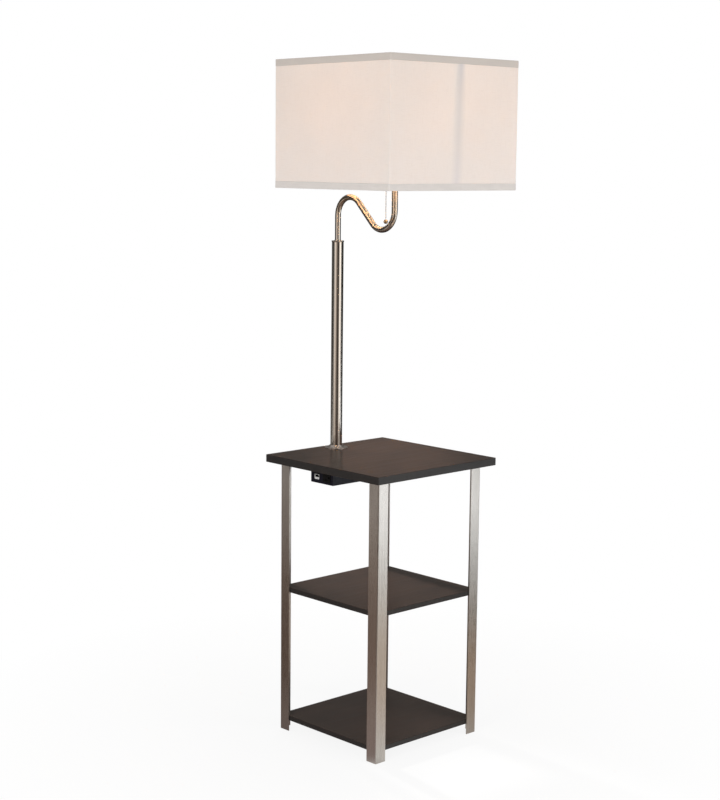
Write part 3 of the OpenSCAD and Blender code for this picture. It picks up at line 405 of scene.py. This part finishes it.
def make_materials():
    """One material for each slot of the record, and for the escutcheon, painted brighter than its slot to
    stand in for the light its flat top catches.
    """
    nickel = (0.70, 0.655, 0.60)
    return {
        "board": laminate(),
        "leg_steel": brushed_legs(),
        "pole_steel": turned("pole_nickel", nickel, 0.16),
        # Painted light: brighter nickel than the pole's, for the light that the escutcheon's flat top catches
        "escutcheon": worn("escutcheon_nickel_painted_bright", (1.0, 0.91, 0.85), 0.27, 1.0, grain=1500.0, bump=0.03),
        "arm_steel": turned("arm_nickel", nickel, 0.20, (0.82, 0.62, 0.43)),
        "zinc": worn("zinc_plate", (0.56, 0.56, 0.57), 0.34, 1.0, tint=(0.50, 0.49, 0.46)),
        "brass": worn("brass_satin", (0.66, 0.47, 0.27), 0.28, 1.0, tint=(0.56, 0.40, 0.24)),
        "base_metal": worn("bulb_base_metal", (0.72, 0.71, 0.69), 0.30, 1.0),
        "black_metal": worn("black_paint", (0.018, 0.018, 0.02), 0.42, bump=0.2),
        "nylon": worn("nylon_natural", (0.76, 0.74, 0.68), 0.48),
        "cable_black": worn("cable_sheath", (0.018, 0.018, 0.019), 0.5, bump=0.2),
        "rubber_black": worn("rubber", (0.02, 0.02, 0.02), 0.7, bump=0.3),
        "insulator": worn("pressed_fibre", (0.24, 0.19, 0.14), 0.8, grain=500.0, bump=0.4),
        "bakelite": worn("dark_moulding", (0.022, 0.019, 0.017), 0.25, coat=0.2),
        "bulb": lit_glass(),
        "shade_fabric": linen(),
        "trim_fabric": tape(),
        "box_plastic": worn("box_plastic", (0.0035, 0.004, 0.012), 0.40, grain=1400.0, bump=0.22, gloss=0.3),
        "outlet_plastic": worn("outlet_plastic", (0.0035, 0.0035, 0.004), 0.36, gloss=0.2),
        "usb_plastic": usb_moulding(),
        "board_green": worn("circuit_board", (0.02, 0.10, 0.045), 0.45, tint=(0.015, 0.08, 0.05)),
    }


def dress_nodes():
    """Gives each of the CAD's own pieces its slot's material."""
    slots = {row["node"]: row["material_slot"] for row in frame["record"]["subparts"]}
    for name, piece in NODES.items():
        piece.data.materials.clear()
        piece.data.materials.append(MATERIALS[name if name in MATERIALS else slots[name]])
    # The glass lets the light inside it out
    NODES["bulb_glass"].visible_shadow = False


# ---- Meshes ----
def new_piece(name, bm, body, slot, *replaced):
    mesh = bpy.data.meshes.new(name)
    bmesh.ops.recalc_face_normals(bm, faces=bm.faces)
    bm.to_mesh(mesh)
    bm.free()
    for face in mesh.polygons:
        face.use_smooth = True
    made = bpy.data.objects.new(name, mesh)
    SCENE.collection.objects.link(made)
    mesh.materials.append(MATERIALS[slot])
    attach(made, body)
    if replaced:
        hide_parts(*replaced)


def square_path(half, corner, per_side, per_corner):
    """Points and outward normals round a square with rounded corners, in the shade's frame.
    It starts at the -X end of the -Y side and runs counter-clockwise."""
    flat = half - corner
    points = []
    for turn in range(4):
        spin = Matrix.Rotation(turn * math.pi / 2, 3, "Z")
        for i in range(per_side):
            place = Vector((-flat + 2 * flat * i / per_side, -half, 0))
            points.append((spin @ place, spin @ Vector((0, -1, 0))))
        for i in range(per_corner):
            angle = -math.pi / 2 + (math.pi / 2) * i / per_corner
            out = Vector((math.cos(angle), math.sin(angle), 0))
            points.append((spin @ (Vector((flat, -flat, 0)) + out * corner), spin @ out))
    return points


def swept_square(section, half, corner, per_side, per_corner, shift):
    """Sweeps a closed section of (out, up) points round the square. shift moves each point a little."""
    bm = bmesh.new()
    rings = []
    for start, normal in square_path(half, corner, per_side, per_corner):
        ring = []
        for out, up in section:
            place = start + normal * out
            place.z = up
            ring.append(bm.verts.new(TO_HEAD @ (place + shift(place, normal))))
        rings.append(ring)
    for ring, after in zip(rings, rings[1:] + rings[:1]):
        for k in range(len(section)):
            m = (k + 1) % len(section)
            bm.faces.new((ring[k], after[k], after[m], ring[m]))
    return bm


def make_shade():
    """The cloth: one stiffened strip round the wire rings, very slightly uneven."""
    rows = 46
    wave_depth, ripple_depth, pull_in = 0.28 * MM, 0.07 * MM, 0.12 * MM
    low, high = SHADE_LOW + 0.5 * MM, SHADE_HIGH - 0.5 * MM
    levels = [low + (high - low) * i / rows for i in range(rows + 1)]
    section = [(0.0, z) for z in levels] + [(-CLOTH_THICK, z) for z in reversed(levels)]

    def shift(place, normal):
        free = math.sin(math.pi * (place.z - low) / (high - low))
        wave = noise.noise(Vector((place.x * 9, place.y * 9, place.z * 5)))
        ripple = noise.noise(Vector((place.x * 34, place.y * 34, place.z * 6 + 7)))
        return normal * (wave_depth * wave * free + ripple_depth * ripple - pull_in)

    bm = swept_square(section, SHADE_HALF - CLOTH_INSET, 1.8 * MM, 56, 5, shift)
    new_piece("shade_cloth", bm, "shade", "shade_fabric", "shade_wrap")
    make_lap(low, high)


def make_lap(low, high):
    """The doubled strip on the front, seen from inside as a raised band that thins at its sides."""
    bm = bmesh.new()
    rows, columns = 50, 8
    end_gap = 5 * MM
    back = CLOTH_INSET - SHADE_HALF + CLOTH_THICK + 0.15 * MM
    grid = []
    for side in (0, 1):
        for r in range(rows + 1):
            z = low + end_gap + (high - low - 2 * end_gap) * r / rows
            for c in range(columns + 1):
                u = c / columns * 2 - 1
                wander = 0.35 * MM * noise.noise(Vector((u * 3, z * 30, 2.0)))
                lift = side * LAP_THICK * (1 - abs(u) ** 6 * 0.7)
                place = Vector((LAP_X + u * LAP_WIDE / 2 + wander, back + lift, z))
                grid.append(bm.verts.new(TO_HEAD @ place))

    def at(side, r, c):
        return grid[(side * (rows + 1) + r) * (columns + 1) + c]

    for side in (0, 1):
        for r in range(rows):
            for c in range(columns):
                bm.faces.new((at(side, r, c), at(side, r, c + 1), at(side, r + 1, c + 1), at(side, r + 1, c)))
    for r in range(rows):
        for c in (0, columns):
            bm.faces.new((at(0, r, c), at(0, r + 1, c), at(1, r + 1, c), at(1, r, c)))
    for c in range(columns):
        for r in (0, rows):
            bm.faces.new((at(0, r, c), at(0, r, c + 1), at(1, r, c + 1), at(1, r, c)))
    new_piece("shade_lap_strip", bm, "shade", "shade_fabric")


# The tape's section in mm, out from the cloth and in from the shade's edge: it starts at the free
# edge outside, folds over the shade's edge and round the wire, and comes back along its own inside
TAPE_SECTION = (
    (-0.02, 14.6), (0.16, 15.0), (0.26, 14.5), (0.30, 12.0), (0.32, 8.0), (0.32, 4.0), (0.26, 1.2),
    (-0.05, 0.35), (-0.7, 0.02), (-2.5, -0.02), (-4.6, 0.05), (-5.5, 0.5), (-5.9, 1.3), (-6.0, 3.4),
    (-5.9, 4.6), (-5.5, 4.7), (-5.5, 3.4), (-5.4, 1.5), (-5.0, 0.75), (-4.3, 0.45), (-2.5, 0.42),
    (-0.85, 0.45), (-0.42, 0.9), (-0.2, 2.0), (-0.12, 8.0), (-0.1, 12.0),
)
TAPE_INSET, TAPE_WIDE = 0.40 * MM, 15 * MM


def make_trim(name, replaced, edge, inward):
    """Tape folded over one edge of the shade. inward is 1 where the cloth lies above that edge, or -1."""
    section = [(out * MM, edge + inward * rise * MM) for out, rise in TAPE_SECTION]

    def shift(place, normal):
        free = min(1.0, abs(place.z - edge) / TAPE_WIDE)
        sway = noise.noise(Vector((place.x * 26, place.y * 26, edge * 9)))
        pucker = noise.noise(Vector((place.x * 110, place.y * 110, edge * 3)))
        move = normal * (0.05 * MM * pucker * free)
        move.z += inward * free * 0.45 * MM * sway
        return move

    bm = swept_square(section, SHADE_HALF - TAPE_INSET, 2.0 * MM, 90, 6, shift)
    new_piece(name, bm, "shade", "trim_fabric", replaced)


# ---- Stage ----
def stage_mesh(name, points, faces, surface):
    mesh = bpy.data.meshes.new(name)
    mesh.from_pydata(points, [], faces)
    made = bpy.data.objects.new(name, mesh)
    SCENE.collection.objects.link(made)
    mesh.materials.append(surface)
    return made


def floor_material():
    """Pale to the eye, and a darker studio floor to whatever mirrors it."""
    made, s = material("floor")
    x, y, _ = s.split()
    # The table's -X faces mirror the photograph's camera to one side (below 0), its -Y faces to the
    # other (above 0). ahead runs across that, from the front leg's way to the rear leg's.
    side = s.math("SUBTRACT", s.math("MULTIPLY", x, math.cos(SIGHT)), s.math("MULTIPLY", y, math.sin(SIGHT)))
    ahead = s.math("ADD", s.math("MULTIPLY", x, math.sin(SIGHT)), s.math("MULTIPLY", y, math.cos(SIGHT)))
    far_side, far_ahead = s.math("ABSOLUTE", side), s.math("ABSOLUTE", ahead)
    across = s.span(side, -MIRROR_REACH, MIRROR_REACH)
    # In shade to the left and lit to the right
    mirrored = s.ramp(
        across,
        (0.0, (1.62, 1.56, 1.50)), (0.12, (0.42, 0.37, 0.33)), (0.26, (0.24, 0.175, 0.145)),
        (0.33, (0.19, 0.127, 0.10)), (0.39, (0.21, 0.14, 0.11)), (0.44, (0.28, 0.225, 0.20)),
        (0.494, (0.28, 0.22, 0.21)), (0.506, (0.73, 0.73, 0.72)), (0.56, (0.63, 0.545, 0.485)),
        (0.62, (0.68, 0.545, 0.42)), (0.68, (0.68, 0.64, 0.59)), (0.75, (0.88, 0.92, 0.93)),
        (0.83, (1.42, 1.52, 1.60)), (0.93, (3.0, 3.15, 3.3)), (1.0, (4.2, 4.4, 4.6)),
    )
    # Behind the front leg's way, the table itself stands between the floor and the lamps
    behind = s.ramp(
        across,
        (0.0, 0.38), (0.20, (0.35, 0.30, 0.26)), (0.28, (0.44, 0.41, 0.38)), (0.34, 0.60), (0.41, 0.48),
        (0.45, 0.64), (0.52, 0.66), (0.59, (0.60, 0.52, 0.44)), (0.64, (0.38, 0.29, 0.22)),
        (0.69, (0.20, 0.17, 0.15)), (0.75, (0.34, 0.32, 0.30)), (0.82, 0.38), (0.90, 0.54), (1.0, 0.72),
    )
    mirrored = s.times(mirrored, s.mix(s.span(ahead, -0.2, -0.02), WHITE, behind))
    # Dark far ahead of the table and far behind it, where only the round tubes mirror the floor
    mirrored = s.times(mirrored, s.span(far_ahead, 0.5, 1.5, 1.0, 0.12))
    # The table's own shade round the rear leg
    under = s.math("MULTIPLY", s.span(ahead, 0.12, 0.2, 0.0, 0.75), s.span(far_side, 0.9, 2.0, 1.0, 0.0))
    mirrored = s.mix(under, mirrored, BLACK)
    # The eye sees a pale floor with the object's shadow, which turns to plain white further out
    pale = s.mix(s.noise((3.0, 3.0, 3.0), 2.0), (0.86, 0.86, 0.86), (0.89, 0.89, 0.89))
    plain = s.add("BsdfDiffuse", {"Color": pale}).outputs[0]
    away = s.add("VectorMath", {0: s.coords()}, operation="LENGTH").outputs["Value"]
    path = s.add("LightPath")
    whiter = s.math("MULTIPLY", path.outputs["Is Camera Ray"], s.span(away, 0.35, 1.15, 0.89, 1.0))
    seen = s.between(whiter, plain, s.glow(WHITE))
    s.output(s.between(path.outputs["Is Glossy Ray"], seen, s.glow(mirrored)))
    return made


def studio_material():
    """The walls that only mirrors see: soft boxes and dark gaps by compass direction."""
    made, s = material("studio_walls")
    x, y, z = s.split()
    bearing = s.math("ARCTAN2", y, x)
    turn = s.math("FRACT", s.math("ADD", s.math("DIVIDE", bearing, 2 * math.pi), 1.0))
    around = s.ramp(
        turn,
        (0.0, 0.05), (0.07, 0.06), (0.10, 0.17), (0.16, 0.17), (0.20, 0.10), (0.25, 0.24), (0.31, 0.05),
        (0.366, 0.04), (0.421, 0.16), (0.457, 0.60), (0.490, 1.10), (0.524, 1.05), (0.552, 0.62),
        (0.582, 0.36), (0.613, 0.20), (0.646, 0.06), (0.679, 0.03), (0.713, 0.24), (0.746, 1.15),
        (0.779, 1.90), (0.813, 1.50), (0.846, 0.42), (0.879, 0.08), (0.921, 0.03),
    )
    warmth = s.ramp(
        turn,
        (0.40, (0.96, 0.93, 0.88)), (0.56, (1.0, 0.86, 0.76)), (0.68, (1.0, 0.80, 0.66)),
        (0.75, (1.0, 0.96, 0.91)),
    )
    rise = s.ramp(s.span(z, 0.0, WALL_HIGH), (0.0, 0.8), (0.25, 1.0), (0.7, 1.0), (1.0, 0.5))
    shown = s.times(s.times(around, warmth), rise)
    # Lowest on the walls, the pale floor sweeps up at both sides
    sweep = s.ramp(
        turn,
        (0.28, 0.0), (0.36, (1.2, 1.16, 1.14)), (0.45, 0.0),
        (0.78, 0.0), (0.87, (4.4, 4.6, 4.8)), (0.96, 0.0),
    )
    sweep = s.times(sweep, s.span(z, 0.02, 0.13, 1.0, 0.0))
    s.output(s.glow(s.mix(1.0, shown, sweep, "ADD")))
    return made


def make_stage():
    """The floor, and a ring of walls that light nothing and that only mirrors see."""
    reach = FLOOR_REACH
    corners = [(-reach, -reach, 0.0), (reach, -reach, 0.0), (reach, reach, 0.0), (-reach, reach, 0.0)]
    stage_mesh("floor", corners, [(0, 1, 2, 3)], floor_material())
    angles = [2 * math.pi * i / WALL_PANELS for i in range(WALL_PANELS)]
    ring = [(WALL_RADIUS * math.cos(angle), WALL_RADIUS * math.sin(angle)) for angle in angles]
    points = [(x, y, z) for z in (2 * MM, WALL_HIGH) for x, y in ring]
    following = [(i, (i + 1) % WALL_PANELS) for i in range(WALL_PANELS)]
    faces = [(i, after, WALL_PANELS + after, WALL_PANELS + i) for i, after in following]
    walls = stage_mesh("studio_walls", points, faces, studio_material())
    walls.visible_camera = walls.visible_diffuse = walls.visible_transmission = False
    walls.visible_shadow = walls.visible_volume_scatter = False


def make_world():
    """Plain soft light, white behind the object and grey to whatever mirrors it."""
    world = bpy.data.worlds.new("studio")
    SCENE.world = world
    s = Shader(world)
    path = s.add("LightPath")

    def background(colour, strength):
        return s.add("Background", {"Color": colour, "Strength": strength}).outputs[0]

    ambient = background((1.0, 0.985, 0.975), 0.5)
    seen = s.between(path.outputs["Is Camera Ray"], ambient, background(WHITE, 1.0))
    s.output(s.between(path.outputs["Is Glossy Ray"], seen, background((0.34, 0.33, 0.32), 1.0)))


# ---- Lamps ----
def make_light(name, kind, place, energy, colour, aim=None):
    """A lamp that neither the camera nor a mirror sees."""
    data = bpy.data.lights.new(name, kind)
    data.energy, data.color = energy, colour
    made = bpy.data.objects.new(name, data)
    made.location = place
    if aim is not None:
        made.rotation_euler = (Vector(aim) - Vector(place)).to_track_quat("-Z", "Y").to_euler()
    made.visible_camera = made.visible_glossy = False
    SCENE.collection.objects.link(made)
    return made


def soft_box(name, place, energy, colour, size, aim):
    data = make_light(name, "AREA", place, energy, colour, aim).data
    data.shape = "RECTANGLE"
    data.size, data.size_y = size


def spot(name, place, energy, colour, radius, degrees, blend, aim):
    data = make_light(name, "SPOT", place, energy, colour, aim).data
    data.shadow_soft_size = radius
    data.spot_size, data.spot_blend = math.radians(degrees), blend


def make_lights():
    lamp_middle, table_top = (0.0, 0.0, 1.35), (0.0, 0.0, 0.7)
    soft_box("key_right", (1.1, -3.5, 1.7), 50.0, (1.0, 0.995, 0.99), (1.8, 2.2), lamp_middle)
    soft_box("key_left", (-3.5, -0.9, 1.7), 57.0, (1.0, 0.985, 0.97), (1.8, 2.2), lamp_middle)
    soft_box("top", (0.9, 0.9, 3.2), 5.0, (1.0, 0.99, 0.98), (2.4, 2.4), table_top)
    soft_box("back", (2.6, 2.5, 1.3), 24.0, (1.0, 0.985, 0.97), (2.0, 2.0), lamp_middle)
    # Over the table's rear edge on to the middle shelf
    spot("shelf", (0.25, 1.9, 1.3), 380.0, (1.0, 0.97, 0.94), 0.12, 12, 0.6, (0.0, 0.0, 0.35))
    # From behind, low enough to lay the pole's shadow on the table top
    under_head = Vector((HEAD.x, HEAD.y, TABLE_Z))
    rear_place = under_head + Vector((1.63, 1.965, 1.27))
    spot("rear", rear_place, 900.0, (1.0, 0.90, 0.84), 0.05, 9, 1.0, under_head)
    bulb = make_light("bulb_light", "POINT", (HEAD.x, HEAD.y, BULB_Z), 4.2, (1.0, 0.66, 0.36))
    bulb.data.shadow_soft_size = 0.027
    bulb.parent = frame["bodies"]["arm"]


make_camera()
MATERIALS = make_materials()
dress_nodes()
make_shade()
make_trim("shade_tape_top", "shade_trim_top", SHADE_HIGH, -1.0)
make_trim("shade_tape_bottom", "shade_trim_bottom", SHADE_LOW, 1.0)
make_stage()
make_world()
make_lights()

SCENE.view_settings.view_transform = "Standard"
